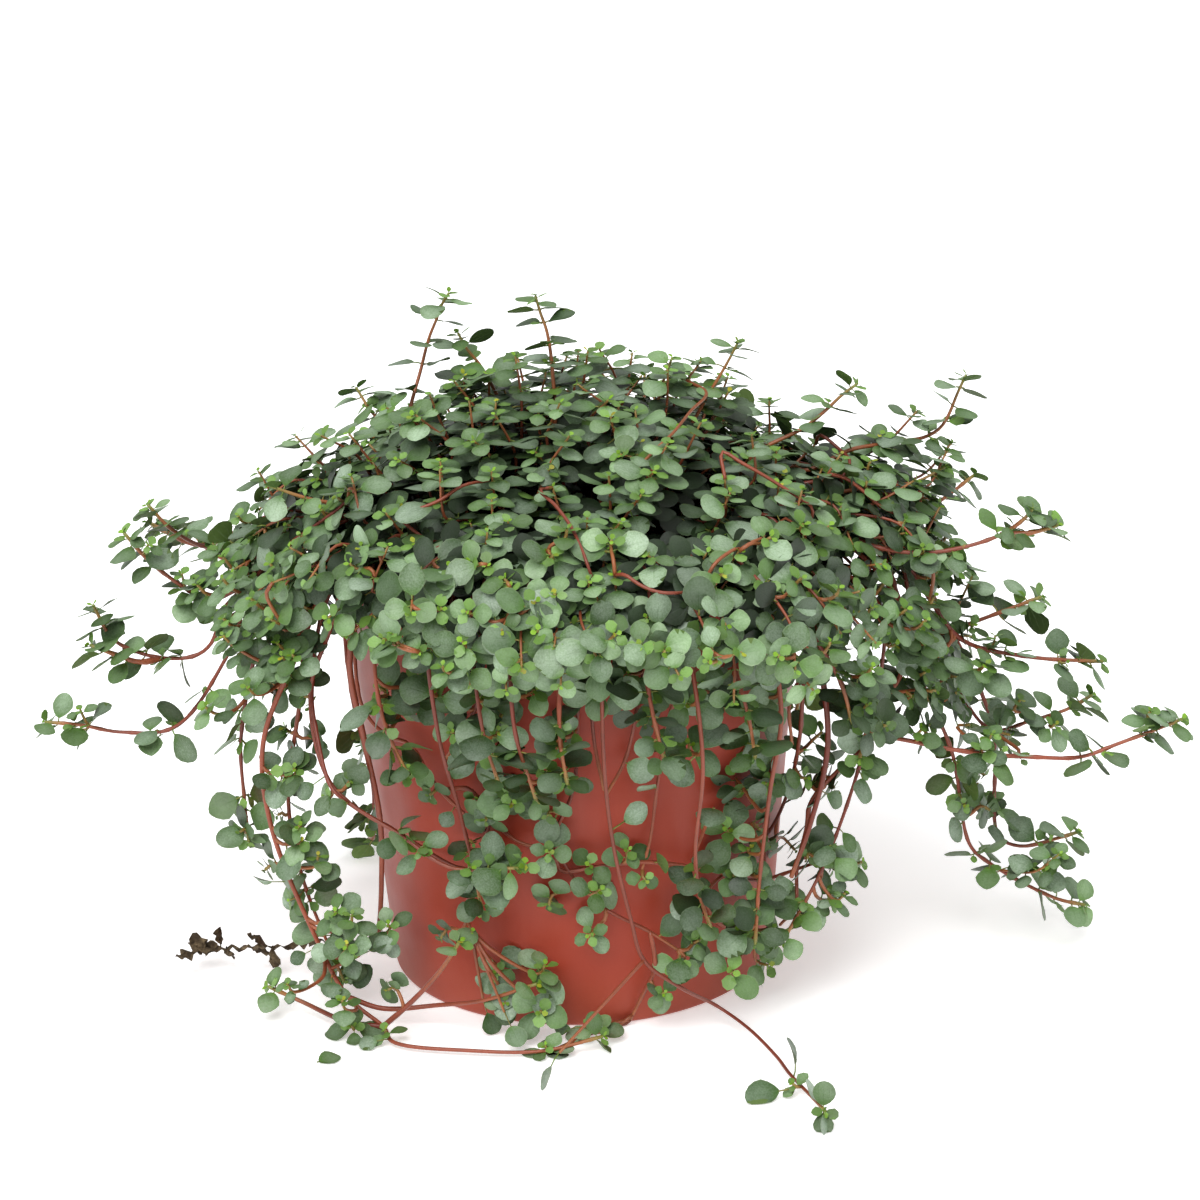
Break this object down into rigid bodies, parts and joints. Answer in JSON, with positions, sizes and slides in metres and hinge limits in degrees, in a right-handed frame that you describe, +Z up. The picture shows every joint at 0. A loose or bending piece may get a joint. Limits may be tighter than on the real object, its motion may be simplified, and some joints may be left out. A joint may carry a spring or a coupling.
{
  "type": "potted trailing pilea plant",
  "caption": "Dense mound of small round silver-green leaves on thin red-brown trailing stems, spilling over a plain tapered plastic nursery pot.",
  "frame": {"origin": "centre of the pot's underside, on the surface that it stands on", "axes": "+Z up along the pot's axis; -Y towards the viewer of the picture; +X to the viewer's right"},
  "size_m": [0.3022, 0.235, 0.1813],
  "materials": {
    "pot": "smooth, semi-matte terracotta-red moulded polypropylene",
    "soil": "dark, crumbly peat",
    "foliage": "matte silvery grey-green leaves, olive below, on red-brown stems",
    "stem": "bare red-brown stem",
    "dry": "dry, dark brown, withered"
  },
  "bodies": {
    "root": {"pot": "pot", "soil": "soil", "crown": "foliage", "stem_left_1": "foliage", "stem_left_2": "foliage", "stem_left_3": "foliage", "stem_left_4": "foliage", "stem_left_5": "foliage", "stem_left_6": "foliage", "stem_left_7": "foliage", "stem_left_8": "foliage", "stem_front_1": "foliage", "stem_front_2": "foliage", "stem_front_3": "foliage", "stem_front_4": "foliage", "stem_front_5": "foliage", "stem_front_6": "foliage", "stem_front_7": "foliage", "stem_front_8": "foliage", "stem_front_9": "foliage", "stem_front_10": "foliage", "stem_front_11": "foliage", "stem_right_1": "foliage", "stem_right_2": "foliage", "stem_right_3": "foliage", "stem_right_4": "foliage", "stem_right_5": "foliage", "stem_right_6": "foliage", "stem_right_7": "foliage", "stem_right_8": "foliage", "stem_back_1": "foliage", "stem_back_2": "foliage", "stem_back_3": "foliage", "stem_back_4": "foliage", "stem_back_5": "foliage", "stem_back_6": "foliage", "stem_back_7": "foliage", "stem_back_8": "foliage", "stem_back_9": "foliage", "stem_back_10": "foliage", "stem_back_11": "foliage", "stem_back_12": "foliage", "runner_left": "stem", "runner_right": "stem", "withered_shoot": "dry"}
  },
  "joints": []
}
